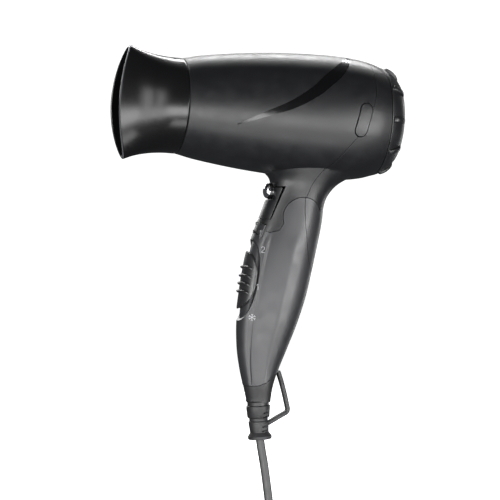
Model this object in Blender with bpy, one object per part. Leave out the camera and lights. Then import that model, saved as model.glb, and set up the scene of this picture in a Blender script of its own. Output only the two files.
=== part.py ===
"""A folding travel hair dryer, upright as a hand holds it: barrel along X with the nozzle at -X, handle down.

The origin is the middle of the grip. Sizes below are in millimetres, and MM turns them into metres.
"""

import math

import bmesh
import bpy
from mathutils import Matrix, Vector

MM = 0.001
GAP = 0.3  # between touching pieces

# ---- driving dimensions ----
AXIS_Z = 106.0  # height of the barrel's axis over the grip
WALL = 2.2
ROUND = 40  # segments of the barrel's round pieces
SMALL_ROUND = 14

BARREL = [(-61.5, 28.4), (-50, 30.9), (-26, 34.3), (-5, 36.3), (12, 37.2), (30, 37.5), (44, 36.8), (54, 35.2), (61.5, 32.9)]
SPIGOT_R, SPIGOT_TIP = 25.6, -68.0

NOZZLE_BACK, NOZZLE_LIP = -61.8, -100.0
NOZZLE_HEIGHT = [(0, 28.4), (0.25, 28.5), (0.5, 29.4), (0.75, 31.2), (1, 34.0)]
NOZZLE_WIDTH = [(0, 28.4), (0.25, 26.0), (0.5, 21.2), (0.75, 16.2), (1, 12.8)]
NOZZLE_WALL, LIP_BOW = 1.8, 6.5

# height, front x, rear x, half width of the handle and of its stub under the barrel
HANDLE = [
    (78, -14, 60, 22), (72, -8, 50, 19), (68, -3.2, 42.5, 17.2), (64, -1.6, 37.5, 16), (58, -2.6, 33.3, 15),
    (52, -4.6, 31.6, 14.6), (44, -7.2, 31.2, 14.4), (36, -9.8, 30.3, 14.2), (26, -12.8, 28.8, 14),
    (12, -15.2, 26.6, 13.7), (-4, -16.8, 23.7, 13.2), (-20, -17.6, 19.3, 12.2), (-36, -16.4, 13.8, 10.6),
    (-48, -14, 9.6, 9.3), (-58, -11.2, 7, 8.6), (-66, -8.9, 6.2, 7.6),
]
HANDLE_SIDES = 32
SQUARENESS, EGG = 2.2, 0.08

FOLD_X, FOLD_Z = -7.0, 35.6  # the fold hinge, at the front of the handle
FOLD_RELIEF, RELIEF_HALF, KNUCKLE_R, FOLD_PIN_R = 4.0, 8.4, 3.4, 1.1
CHEEK_X, CHEEK_Z, CHEEK_R = 15.7, 44.4, 12.0  # the round top of the lower handle
CHEEK_FROM, CHEEK_TO = 200, 25  # degrees, over the top

LEVER_X, LEVER_Z, LEVER_PIN_R = -1.0, 44.2, 0.9
KNOB_Z, KNOB_R = 59.4, 4.6
LEVER_ROOM = [(-20, 42.2), (-2.9, 42.2), (4.6, 62.6), (0.6, 62.6), (0.6, 64.6), (-20, 64.6)]
LEVER_SIDE = [(-20, 42.6), (-3.4, 42.6), (2.9, 61.6), (-0.6, 61.6), (-0.6, 54.2), (-20, 54.2)]

SLIDE_LEAN = math.radians(5.8)  # the switch slides down and forward
SWITCH_X, SWITCH_Z = -13.6, 5.2
SWITCH_TRAVEL = 6.0

LATCH_X, LATCH_Z, LATCH_LENGTH, LATCH_WIDTH = 42.5, 104.0, 20.0, 7.2
LATCH_LEAN = math.radians(12)

CAP_X = 61.9
RIBS = 10

RELIEF_LEAN = math.radians(7.5)
RELIEF_X, RELIEF_Z = -2.1, -58.0

CORD_R = 2.6
FLOOR_Z = -176.0  # the surface that the coiled cord lies on
COIL_X, COIL_Y, COIL_IN, COIL_OUT, COIL_HEIGHT = 38.0, 36.0, 22.0, 39.4, 21.6
CORD_ROUTE = [
    (1.5, 0, -90.6), (3.0, 0, -97.5), (4.9, 0, -105.4), (6.6, 0, -113.5), (8.2, 0, -121.5), (9.8, 0, -129.5),
    (12.0, 0, -137.2), (15.6, 0, -144.2), (20.8, 0, -149.4),
]
TAIL_Y, TAIL_Z, TAIL_START, TAIL_RUN = 72.7, -173.3, 20.0, 37.0  # it leaves the coil towards -X, rising to the plug
PLUG_X, PLUG_Z = -17.3, -163.2


# ---- tools ----
def clear_scene():
    for obj in list(bpy.data.objects):
        bpy.data.objects.remove(obj)


def material(name, color, roughness, metallic=0.0):
    found = bpy.data.materials.get(name)
    if found:
        return found
    made = bpy.data.materials.new(name)
    made.use_nodes = True
    shader = made.node_tree.nodes["Principled BSDF"]
    shader.inputs["Base Color"].default_value = (*color, 1)
    shader.inputs["Roughness"].default_value = roughness
    shader.inputs["Metallic"].default_value = metallic
    return made


def smooth(table, at):
    """A smooth curve through the table's rows, whose first column rises or falls; at is a value of that column."""
    rows = sorted(table)
    at = min(max(at, rows[0][0]), rows[-1][0])
    k = max(i for i in range(len(rows) - 1) if rows[i][0] <= at)
    a, b = rows[k], rows[k + 1]
    before, after = rows[max(k - 1, 0)], rows[min(k + 2, len(rows) - 1)]
    step = b[0] - a[0]
    t = (at - a[0]) / step
    found = []
    for c in range(1, len(a)):
        rise_a = (b[c] - before[c]) / (b[0] - before[0]) * step
        rise_b = (after[c] - a[c]) / (after[0] - a[0]) * step
        found.append(
            (2 * t**3 - 3 * t**2 + 1) * a[c] + (t**3 - 2 * t**2 + t) * rise_a
            + (3 * t**2 - 2 * t**3) * b[c] + (t**3 - t**2) * rise_b
        )
    return found


def finish(name, mesh_tool, looks=None):
    """Makes an object of a bmesh in millimetres, with its faces turned out."""
    bmesh.ops.remove_doubles(mesh_tool, verts=mesh_tool.verts, dist=1e-4)
    bmesh.ops.recalc_face_normals(mesh_tool, faces=mesh_tool.faces)
    bmesh.ops.scale(mesh_tool, vec=(MM, MM, MM), verts=mesh_tool.verts)
    mesh = bpy.data.meshes.new(name)
    mesh_tool.to_mesh(mesh)
    mesh_tool.free()
    obj = bpy.data.objects.new(name, mesh)
    bpy.context.scene.collection.objects.link(obj)
    if looks:
        mesh.materials.append(looks)
    return obj


def loft(name, rings, looks=None):
    """A closed body through rings of the same number of points, with a flat cap on each end."""
    tool = bmesh.new()
    made = [[tool.verts.new(p) for p in ring] for ring in rings]
    count = len(rings[0])
    for low, high in zip(made, made[1:]):
        for i in range(count):
            j = (i + 1) % count
            tool.faces.new((low[i], low[j], high[j], high[i]))
    tool.faces.new(made[0])
    tool.faces.new(made[-1])
    return finish(name, tool, looks)


def turned(name, outline, segments, looks=None, centre=(0, 0, AXIS_Z), turn=None):
    """A body turned about the X axis through centre; outline is a closed loop of (x, radius)."""
    tool = bmesh.new()
    rings = []
    for x, radius in outline:
        if radius < 1e-6:
            rings.append([tool.verts.new((x, 0, 0))] * segments)
            continue
        angles = [2 * math.pi * i / segments for i in range(segments)]
        rings.append([tool.verts.new((x, radius * math.sin(a), radius * math.cos(a))) for a in angles])
    closed = outline[0][1] > 1e-6 or outline[-1][1] > 1e-6
    pairs = list(zip(rings, rings[1:] + rings[:1] if closed else rings[1:]))
    for low, high in pairs:
        for i in range(segments):
            j = (i + 1) % segments
            corners = list(dict.fromkeys((low[i], low[j], high[j], high[i])))
            if len(corners) > 2:
                tool.faces.new(corners)
    if turn:
        bmesh.ops.transform(tool, matrix=turn, verts=tool.verts)
    bmesh.ops.translate(tool, vec=centre, verts=tool.verts)
    return finish(name, tool, looks)


def prism(name, outline, y_low, y_high, looks=None):
    """An outline in the XZ plane, made solid from y_low to y_high."""
    return loft(name, [[(x, y, z) for x, z in outline] for y in (y_low, y_high)], looks)


def slab(name, low, high, looks=None):
    (x0, y0, z0), (x1, y1, z1) = low, high
    return prism(name, [(x0, z0), (x1, z0), (x1, z1), (x0, z1)], y0, y1, looks)


def rod(name, start, end, radius, looks=None, segments=SMALL_ROUND, tip_radius=None):
    """A straight round rod between two points."""
    a, b = Vector(start), Vector(end)
    turn = (b - a).to_track_quat("X", "Z").to_matrix().to_4x4()
    last = radius if tip_radius is None else tip_radius
    outline = [(0, 0), (0, radius), ((b - a).length, last), ((b - a).length, 0)]
    return turned(name, outline, segments, looks, start, turn)


def change(obj, operation, *tools):
    """Adds, cuts or keeps what is common with each tool in turn, and removes the tools."""
    for tool in tools:
        step = obj.modifiers.new(operation, "BOOLEAN")
        step.operation = operation
        step.object = tool
    for solver in ("EXACT", "MANIFOLD"):  # the second is for where the first leaves a surface open
        for step in obj.modifiers:
            step.solver = solver
        bpy.context.view_layer.update()
        graph = bpy.context.evaluated_depsgraph_get()
        made = bpy.data.meshes.new_from_object(obj.evaluated_get(graph))
        tidy = bmesh.new()
        tidy.from_mesh(made)
        bmesh.ops.remove_doubles(tidy, verts=tidy.verts, dist=1e-6)
        closed = all(edge.is_manifold for edge in tidy.edges)
        tidy.to_mesh(made)
        tidy.free()
        if closed:
            break
    obj.modifiers.clear()
    obj.data = made
    for tool in tools:
        bpy.data.objects.remove(tool)
    return obj


def add(obj, *tools):
    return change(obj, "UNION", *tools)


def cut(obj, *tools):
    return change(obj, "DIFFERENCE", *tools)


def keep(obj, *tools):
    return change(obj, "INTERSECT", *tools)


def copy(obj, name, looks):
    made = obj.copy()
    made.data = obj.data.copy()
    made.name = name
    made.data.materials.clear()
    made.data.materials.append(looks)
    bpy.context.scene.collection.objects.link(made)
    return made


def arc(cx, cz, radius, first, last, steps):
    """Points on a circle in the XZ plane, from one angle in degrees to another."""
    angles = [math.radians(first + (last - first) * i / steps) for i in range(steps + 1)]
    return [(cx + radius * math.cos(a), cz + radius * math.sin(a)) for a in angles]


def stadium(cx, cz, length, width, lean, steps=6):
    """A round-ended outline whose long way leans from +Z towards +X."""
    half = length / 2 - width / 2
    ends = arc(0, half, width / 2, 0, 180, steps) + arc(0, -half, width / 2, 180, 360, steps)
    c, s = math.cos(lean), math.sin(lean)
    return [(cx + x * c + z * s, cz - x * s + z * c) for x, z in ends]


# ---- shapes that several pieces share ----
def handle_ring(z, grow=0.0, count=HANDLE_SIDES, front_grow=None):
    front, rear, half = smooth(HANDLE, z)
    front -= grow if front_grow is None else front_grow
    rear, half = rear + grow, half + grow
    middle, reach = (front + rear) / 2, (rear - front) / 2
    ring = []
    for i in range(count):
        a = 2 * math.pi * i / count
        c, s = math.cos(a), math.sin(a)
        x = math.copysign(abs(c) ** (2 / SQUARENESS), c)
        y = math.copysign(abs(s) ** (2 / SQUARENESS), s)
        ring.append((middle + reach * x, half * y * (1 + EGG * x), z))
    return ring


def handle_solid(name, low, high, grow=0.0, front_grow=None, looks=None):
    """The handle's outer shape between two heights, larger by grow."""
    between = [row[0] for row in HANDLE if low < row[0] < high]
    heights = sorted([low, high, *between])
    return loft(name, [handle_ring(z, grow, front_grow=front_grow) for z in heights], looks)


def fold_line(gap):
    """The joint between stub and lower handle, seen from the side, front to back; gap opens it upwards."""
    cheek = arc(CHEEK_X, CHEEK_Z, CHEEK_R + gap, CHEEK_FROM, CHEEK_TO, 14)
    last_z = cheek[-1][1]
    return [(-30, 36 + gap), (-9.8, 36 + gap), (-3.4, 34.3 + gap), (1.7, 35.8 + gap), *cheek, (45, last_z + 0.4)]


def shell_seam(gap):
    """The joint between front and rear shell, seen from the side, top to bottom; gap moves it back."""
    rows = [
        (52.5, 150), (52, 141), (51.2, 128), (50.3, 119.5), (48.6, 113), (44.5, 104), (40.6, 95.5), (34, 85.4),
        (28.5, 77.5), (24.6, 73), (20.6, 67), (17.8, 60), (16.4, 54), (16, 30),
    ]
    return [(x + gap, z) for x, z in rows]


def inner_radius(x):
    return smooth(BARREL, x)[0] - WALL


# ---- housing ----
def housing_solid():
    """Barrel and stub as one hollow body, before the seams cut it."""
    spigot = [(SPIGOT_TIP, 0), (SPIGOT_TIP, SPIGOT_R - 0.6), (SPIGOT_TIP + 0.8, SPIGOT_R), (-61.7, SPIGOT_R)]
    body = turned("housing", [*spigot, *BARREL, (BARREL[-1][0], 0)], ROUND)
    body = add(body, handle_solid("stub", 30, 78))
    bore = [(SPIGOT_TIP - 1, 0), (SPIGOT_TIP - 1, SPIGOT_R - 2), (-61, SPIGOT_R - 2)]
    bore += [(x, r - WALL) for x, r in BARREL[1:-1]] + [(63, 30.3), (63, 0)]
    hollow = add(turned("bore", bore, ROUND), handle_solid("stub_bore", 60, 80, -WALL))
    lever_room = prism("lever_room", LEVER_ROOM, -20, 20)
    lever_slot = slab("lever_slot", (-6, -4.3, 41.6), (3.2, 4.3, 49))
    return cut(body, hollow, lever_room, lever_slot, *latch_holes())


def latch_holes():
    outline = stadium(LATCH_X, LATCH_Z, LATCH_LENGTH + 2 * GAP, LATCH_WIDTH + 2 * GAP, LATCH_LEAN)
    return [prism("latch_hole", outline, -45, -20), prism("latch_hole", outline, 20, 45)]


def front_and_rear_shell(black):
    whole = housing_solid()
    below = [*fold_line(0.4), (45, 0), (-30, 0)]
    relief = rod("relief", *across_fold(RELIEF_HALF), FOLD_RELIEF, segments=20)
    whole = cut(whole, prism("below_fold", below, -40, 40), relief)
    rear = copy(whole, "rear_shell", black)
    keep(rear, prism("rear_side", [*shell_seam(GAP / 2), (110, 30), (110, 150)], -60, 60))
    whole.name = "front_shell"
    whole.data.materials.clear()
    whole.data.materials.append(black)
    keep(whole, prism("front_side", [*shell_seam(-GAP / 2), (-110, 30), (-110, 150)], -60, 60))
    knuckle = keep(rod("knuckle", *across_fold(4), KNUCKLE_R), handle_solid("flush", 30, 41, 0.2))
    arm = slab("arm", (FOLD_X - 1.6, -3.8, FOLD_Z), (FOLD_X + 2.1, 3.8, FOLD_Z + 4.9))
    add(whole, add(knuckle, arm))
    cut(whole, rod("pin_hole", *across_fold(12), FOLD_PIN_R + GAP), lever_pin("pin_hole", GAP))
    return whole, rear


def across_fold(half):
    return (FOLD_X, -half, FOLD_Z), (FOLD_X, half, FOLD_Z)


def lever_pin(name, grow=0.0, looks=None):
    half = 8.0 + grow
    return rod(name, (LEVER_X, -half, LEVER_Z), (LEVER_X, half, LEVER_Z), LEVER_PIN_R + grow, looks, 12)


def latch(name, side, looks):
    """A pill-shaped button in the barrel's side that frees the rear cap."""
    rows = [(x, smooth(BARREL, x)[0]) for x in (28, 34, 40, 46, 52, 58)]
    skin = turned(name, [*rows, *[(x, r - WALL) for x, r in reversed(rows)]], ROUND, looks)
    outline = stadium(LATCH_X, LATCH_Z, LATCH_LENGTH, LATCH_WIDTH, LATCH_LEAN)
    return keep(skin, prism("latch_outline", outline, *sorted((side * 20, side * 45))))


# ---- nozzle ----
def nozzle_ring(share, shrink=0.0, back=NOZZLE_BACK, count=ROUND):
    (height,), (width,) = smooth(NOZZLE_HEIGHT, share), smooth(NOZZLE_WIDTH, share)
    ring = []
    for i in range(count):
        a = 2 * math.pi * i / count
        y, z = (width - shrink) * math.sin(a), (height - shrink) * math.cos(a)
        lip = NOZZLE_LIP + LIP_BOW * (z / NOZZLE_HEIGHT[-1][1]) ** 2
        ring.append((back + share * (lip - back), y, AXIS_Z + z))
    return ring


def nozzle(looks):
    shares = [0, 0.15, 0.3, 0.45, 0.6, 0.75, 0.88, 1]
    body = loft("nozzle", [nozzle_ring(s) for s in shares], looks)
    inside = [nozzle_ring(s, NOZZLE_WALL) for s in (0.2, *shares[2:-1])] + [nozzle_ring(1.02, NOZZLE_WALL)]
    inside[-1] = [(x - 4, y, z) for x, y, z in inside[-1]]
    socket_outline = [(-60, 0), (-60, SPIGOT_R + GAP), (SPIGOT_TIP - GAP, SPIGOT_R + GAP), (-73, 23), (-73, 0)]
    return cut(body, loft("inside", inside), turned("socket", socket_outline, ROUND))


def grille_bars(name, x_low, x_high, bars, radius, looks):
    """A ring with flat bars across it."""
    ring = turned(name, [(x_low, radius), (x_high, radius), (x_high, radius - 1.6), (x_low, radius - 1.6)], 28, looks)
    pieces = []
    for z in bars:
        half = math.sqrt((radius - 0.8) ** 2 - z * z)
        pieces.append(slab("bar", (x_low + 0.3, -half, AXIS_Z + z - 0.6), (x_high - 0.3, half, AXIS_Z + z + 0.6)))
    return add(ring, *pieces)


# ---- inside the barrel ----
def heater(mica, wire, steel):
    shield = [(-56, 25.2), (-10, 25.2), (-10, 24.6), (-56, 24.6)]
    turned("heat_shield", shield, 28, mica)
    reach, half = 20.4, 0.4
    cross = [(half, half), (reach, half), (reach, -half), (half, -half)]
    outline = [(y * math.cos(a) - z * math.sin(a), y * math.sin(a) + z * math.cos(a))
               for a in (0, -math.pi / 2, -math.pi, -3 * math.pi / 2) for y, z in cross[:3]]
    loft("heater_frame", [[(x, y, AXIS_Z + z) for y, z in outline] for x in (-54, -14)], mica)
    turns, per_turn = 5, 12
    steps = turns * per_turn
    points = []
    for i in range(steps + 1):
        a = 2 * math.pi * i / per_turn
        points.append((-51 + 34 * i / steps, 21.8 * math.cos(a), AXIS_Z + 21.8 * math.sin(a)))
    tube("heater_coil", points, 0.6, wire, 0)
    slab("thermal_cutout", (-40, 0.8, AXIS_Z + 2), (-30, 4.8, AXIS_Z + 8), steel)


def tube(name, points, radius, looks, resolution=2):
    """A round cord or wire through points, with its ends closed."""
    curve = bpy.data.curves.new(name, "CURVE")
    curve.dimensions = "3D"
    curve.bevel_depth = radius * MM
    curve.bevel_resolution = resolution
    curve.use_fill_caps = True
    spline = curve.splines.new("POLY")
    spline.points.add(len(points) - 1)
    for place, point in zip(spline.points, points):
        place.co = (*[c * MM for c in point], 1)
    curve.materials.append(looks)
    obj = bpy.data.objects.new(name, curve)
    bpy.context.scene.collection.objects.link(obj)
    return obj


def through(points, step):
    """Points every step millimetres or so on a smooth curve through the given ones."""
    rows = [(0, *points[0])]
    for a, b in zip(points, points[1:]):
        rows.append((rows[-1][0] + (Vector(b) - Vector(a)).length, *b))
    count = max(2, round(rows[-1][0] / step))
    return [tuple(smooth(rows, rows[-1][0] * i / count)) for i in range(count + 1)]


def motor_and_fan(grey, steel, brass):
    can = turned("motor_can", [(9, 0), (9, 12.4), (10, 13.4), (35, 13.4), (36, 12.4), (36, 0)], 24, steel)
    cut(can, rod("shaft_room", (28, 0, AXIS_Z), (40, 0, AXIS_Z), 1.1 + GAP, segments=12))
    rod("motor_shaft", (29, 0, AXIS_Z), (55, 0, AXIS_Z), 1.1, brass, 12)
    duct = turned("motor_mount", [(13, 34.5), (31, 34.5), (31, 33), (13, 33)], ROUND, grey)
    cup = turned("cup", [(13, 15.6), (31, 15.6), (31, 13.8), (13, 13.8)], 28)
    vanes = []
    for i in range(5):
        turn = Matrix.Rotation(2 * math.pi * i / 5, 4, "X")
        vanes.append(radial_plate("vane", 14, 30, 14.8, 33.6, 0.7, 0.0, turn))
    add(duct, cup, *vanes)
    hub = turned("impeller", [(40, 0), (40, 9.2), (53, 9.2), (57, 4), (57, 0)], 24, grey)
    blades = []
    for i in range(7):
        turn = Matrix.Rotation(2 * math.pi * i / 7, 4, "X")
        blades.append(radial_plate("blade", 41, 52, 8.6, 30.4, 0.6, math.radians(38), turn))
    add(hub, *blades)
    cut(hub, rod("shaft_room", (38, 0, AXIS_Z), (60, 0, AXIS_Z), 1.1 + GAP, segments=12))


def radial_plate(name, x0, x1, r0, r1, half, twist, turn):
    """A plate from radius r0 to r1, its blade angle set by twist, turned into place about the barrel's axis."""
    middle, reach = (x0 + x1) / 2, (x1 - x0) / 2
    lean = Vector((math.cos(twist), math.sin(twist), 0))
    side = Vector((-math.sin(twist), math.cos(twist), 0)) * half
    rings = []
    for radius in (r0, r1):
        centre = Vector((middle, 0, radius))
        corners = [centre + lean * reach * e + side * f for e, f in ((-1, -1), (1, -1), (1, 1), (-1, 1))]
        rings.append([tuple(turn @ corner + Vector((0, 0, AXIS_Z))) for corner in corners])
    return loft(name, rings)


# ---- rear cap ----
def rear_cap(black, grey):
    outline = [
        (CAP_X, 32.7), (66, 31), (69.3, 28.8), (71.4, 26.4), (72.2, 25.4), (72.2, 23.4), (66, 23.4), (63, 27.6),
        (57.5, 28.6), (57.5, 29.9), (CAP_X, 30.0),
    ]
    cap = turned("rear_cap", outline, ROUND, black)
    ribs = []
    for i in range(RIBS):
        turn = Matrix.Rotation(2 * math.pi * (i + 0.5) / RIBS, 4, "X")
        rows = []
        for x, radius, half in ((63.4, 30.6, 1.0), (64.4, 33.0, 1.4), (69.6, 29.6, 1.4), (70.8, 26.4, 1.0)):
            rows.append((x, radius, half))
        ribs.append(rib(rows, turn))
    add(cap, *ribs)
    grille = turned("intake_grille", [(68.4, 23.1), (70.4, 23.1), (70.4, 21.5), (68.4, 21.5)], 28, black)
    for radius in (16.8, 11.2):
        ring = [(68.4, radius), (70.4, radius), (70.4, radius - 1.2), (68.4, radius - 1.2)]
        add(grille, turned("ring", ring, 24))
    hub = turned("hub", [(68.4, 0), (68.4, 5.6), (70.9, 5.6), (70.9, 0)], 20)
    spokes = []
    for i in range(6):
        turn = Matrix.Rotation(2 * math.pi * (i + 0.5) / 6, 4, "X")
        spokes.append(radial_plate("spoke", 68.6, 70.2, 4.6, 22.3, 0.6, 0.0, turn))
    add(grille, hub, *spokes)
    turned("filter_screen", [(66.6, 0), (66.6, 22.9), (67.4, 22.9), (67.4, 0)], 28, grey)


def rib(rows, turn):
    """A finger rib on the cap: a low ridge that follows the cap's curve."""
    inner = [(x, radius - 3.2) for x, radius, _ in rows]
    tool = bmesh.new()
    lower, upper = [], []
    for (x, radius, half), (_, under) in zip(rows, inner):
        lower.append([tool.verts.new(turn @ Vector((x, side * half, under))) for side in (-1, 1)])
        upper.append([tool.verts.new(turn @ Vector((x, side * half, radius))) for side in (-1, 1)])
    for k in range(len(rows) - 1):
        tool.faces.new((lower[k][0], lower[k + 1][0], lower[k + 1][1], lower[k][1]))
        tool.faces.new((upper[k][0], upper[k][1], upper[k + 1][1], upper[k + 1][0]))
        for side in (0, 1):
            tool.faces.new((lower[k][side], upper[k][side], upper[k + 1][side], lower[k + 1][side]))
    for k in (0, -1):
        tool.faces.new((lower[k][0], lower[k][1], upper[k][1], upper[k][0]))
    bmesh.ops.translate(tool, vec=(0, 0, AXIS_Z), verts=tool.verts)
    return finish("rib", tool)


# ---- fold release ----
def release_lever(black, chrome):
    lever = handle_solid("release_lever", 40, 63, looks=black)
    keep(lever, prism("lever_side", LEVER_SIDE, -20, 20))
    tail = prism("tail", [(-6, 42.7), (1.4, 42.7), (1.4, 46), (-3, 48)], -3.9, 3.9)
    add(lever, tail)
    cut(lever, lever_pin("pin_hole", GAP))
    dome = [(0, 0), (0, KNOB_R), (3.0, KNOB_R), (4.2, KNOB_R - 0.7), (4.9, KNOB_R - 2.2), (5.1, 0)]
    turn = Matrix.Rotation(math.pi, 4, "Z")
    turned("release_knob", dome, 24, chrome, (-0.6 - GAP, 0, KNOB_Z), turn)


# ---- lower handle ----
def along_slide(offset):
    """A point offset millimetres up the switch's slide from its middle."""
    return SWITCH_X + offset * math.sin(SLIDE_LEAN), SWITCH_Z + offset * math.cos(SLIDE_LEAN)


def leaf():
    """The switch button's outline from the side: a leaf whose tips meet the handle's front."""
    return from_front(17.5, 6.9, 0.75)


def track_outline():
    """The room that the leaf slides in."""
    return from_front(17.5 + SWITCH_TRAVEL + 1, 7.6, 0.1)


def from_front(half, depth, proud):
    back, steps = [], 16
    for i in range(steps + 1):
        t = -math.cos(math.pi * i / steps)
        z = SWITCH_Z - half * t
        back.append((smooth(HANDLE, z)[0] - proud + depth * max(0.0, 1 - t * t) ** 0.65, z))
    return [*back, (back[-1][0] - 8, back[-1][1]), (back[0][0] - 8, back[0][1])]


def switch_bed(grow, half):
    """The handle's inner face that the switch button slides over."""
    return keep(handle_solid("switch_bed", -40, 45, grow), slab("middle", (-40, -half, -40), (40, half, 45)))


def lower_handle(black, grey, steel):
    shell = handle_solid("handle_shell", -64, 62, looks=black)
    bottom = [(-30, -58), (-11.2, -58), (-4.3, -57.3), (0.5, -55.2), (6, -50.5), (10.4, -47.5), (25, -43)]
    keep(shell, prism("below_fold", [*fold_line(0), *reversed(bottom)], -30, 30))
    hollow = handle_solid("handle_bore", -50, 30, -WALL, -9.0)
    relief = rod("relief", *across_fold(RELIEF_HALF), FOLD_RELIEF, segments=20)
    track = prism("switch_track", track_outline(), -20, 20)
    cut(track, switch_bed(-1.6, 6.5))
    stem_room = slab("stem_room", (-18, -2, SWITCH_Z - 10), (0, 2, SWITCH_Z + 10))
    cord_way = rod("cord_way", (-3.6, 0, -44), (-1.6, 0, -64), CORD_R + 1.2)
    cut(shell, hollow, relief, track, stem_room, cord_way)
    knuckles = []
    for side in (-1, 1):
        ends = [(FOLD_X, side * 4.3, FOLD_Z), (FOLD_X, side * 7.9, FOLD_Z)]
        low, high = sorted((side * 4.3, side * 7.9))
        arm = slab("arm", (FOLD_X - 1.9, low + 0.2, FOLD_Z - 6.5), (FOLD_X + 2.0, high - 0.2, FOLD_Z))
        knuckle = keep(rod("knuckle", *ends, KNUCKLE_R), handle_solid("flush", 30, 41, 0.2))
        knuckles.append(add(knuckle, arm))
    add(shell, *knuckles)
    cut(shell, rod("pin_hole", *across_fold(6.2), FOLD_PIN_R + GAP))
    split = [(CHEEK_X + 0.6, 60), (CHEEK_X + 0.6, 51), (17.4, 41.5), (19.2, 32), (21.6, 20), (24.4, 13), (40, 8), (40, 60)]
    spine = copy(shell, "handle_spine", black)
    keep(spine, prism("spine_side", split, -30, 30))
    front = [(x - GAP, z) for x, z in split[:-2]] + [(40, 8 - GAP), (40, -70), (-40, -70), (-40, 60)]
    keep(shell, prism("shell_side", front, -30, 30))
    for name, z in (("spine_screw_upper", 46.0), ("spine_screw_lower", 34.5)):
        rear = smooth(HANDLE, z)[1]
        for piece in (shell, spine):
            cut(piece, screw("screw_hole", rear - 2.4, z, GAP, None))
        screw(name, rear - 2.4, z, 0.0, steel)
    slab("switch_block", (-3.1, -5.5, SWITCH_Z - 12), (5, 5.5, SWITCH_Z + 12), grey)


def screw(name, head_x, z, grow, looks):
    """A round-headed screw from the back of the handle, its head at head_x."""
    room = 6 if grow else 0
    outline = [
        (-room, 0), (-room, 2.6 + grow), (1.8 + grow, 2.6 + grow), (1.8 + grow, 1.3 + grow),
        (12 + grow, 1.3 + grow), (12 + grow, 0),
    ]
    return turned(name, outline, 12, looks, (head_x, 0, z), Matrix.Rotation(math.pi, 4, "Z"))


def switch_slider(grey):
    slider = handle_solid("switch_slider", -20, 32, 0.7, looks=grey)
    keep(slider, prism("leaf", leaf(), -9.5, 9.5))
    cut(slider, switch_bed(-0.8, 6.9))
    _, stem_z = along_slide(0)
    add(slider, slab("stem", (-16.4, -1.5, stem_z - 3), (-4.3, 1.5, stem_z + 3)))


def strain_relief(rubber):
    """The rubber sleeve at the handle's end: it carries on the handle's shape, then narrows in rings to a flange."""
    rows = [
        (-66.5, -1.4, 7.5), (-67.5, -1.3, 6.5), (-69.0, -1.2, 6.5), (-70.0, -1.1, 7.3), (-76.2, -0.5, 6.7),
        (-77.0, -0.4, 5.7), (-78.4, -0.3, 5.7), (-79.2, -0.2, 6.3), (-84.6, 0.5, 5.7), (-86.2, 0.8, 5.9),
        (-88.0, 1.1, 7.2), (-89.8, 1.3, 6.9),
    ]
    rings = [[(middle + radius * math.cos(a), radius * math.sin(a), z + 0.12 * radius * math.cos(a))
              for a in [2 * math.pi * i / 20 for i in range(20)]] for z, middle, radius in rows]
    lower = loft("strain_relief", rings, rubber)
    upper = handle_solid("upper", -67.2, -40, -0.2)
    top = [(-30, -58.4), (-11.2, -58.4), (-4.3, -57.7), (0.5, -55.6), (6, -50.9), (10.4, -47.9), (25, -43.4)]
    keep(upper, prism("under_handle", [*top, (25, -80), (-30, -80)], -30, 30))
    add(lower, upper)
    cut(lower, rod("cord_way", (-3.6, 0, -44), (0.2, 0, -79), CORD_R + 0.5))


def hang_loop(rubber):
    """A flat rubber loop behind the strain relief."""
    middle = [(11.0, -49.6), (12.9, -56), (15.2, -63), (17.1, -69.4), (17.0, -72.0), (14.4, -74.2), (7.2, -78.9)]
    half = 1.25
    left, right = [], []
    for i, (x, z) in enumerate(middle):
        before, after = middle[max(i - 1, 0)], middle[min(i + 1, len(middle) - 1)]
        way = Vector((after[0] - before[0], after[1] - before[1])).normalized() * half
        left.append((x + way.y, z - way.x))
        right.append((x - way.y, z + way.x))
    prism("hang_loop", left + right[::-1], -2.1, 2.1, rubber)


# ---- cord ----
def cord(black, brass, tie):
    tube("cord_lead", through(CORD_ROUTE, 6), CORD_R, black, 2)
    ring = [(0, COIL_IN), (0, COIL_OUT), (COIL_HEIGHT, COIL_OUT), (COIL_HEIGHT, COIL_IN)]
    up = Matrix.Rotation(-math.pi / 2, 4, "Y")
    turned("cord_coil", ring, 32, black, (COIL_X, COIL_Y, FLOOR_Z), up)
    band = slab("cord_tie", (COIL_X - 3, COIL_Y + COIL_IN - 1.4, FLOOR_Z + 0.1),
                (COIL_X + 3, COIL_Y + COIL_OUT + 1.4, FLOOR_Z + COIL_HEIGHT + 1.4), tie)
    cut(band, slab("room", (COIL_X - 9, COIL_Y + COIL_IN - GAP - 0.4, FLOOR_Z + 0.05 - 1),
                   (COIL_X + 9, COIL_Y + COIL_OUT + GAP, FLOOR_Z + COIL_HEIGHT + GAP)))
    shares = [0.075 + 0.9 * i / 6 for i in range(7)]
    rise = PLUG_Z - TAIL_Z
    route = [(TAIL_START - TAIL_RUN * t, TAIL_Y, TAIL_Z + rise * t * t * (3 - 2 * t)) for t in shares]
    tube("cord_tail", route, CORD_R, black, 2)
    plug(black, brass)


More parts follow.
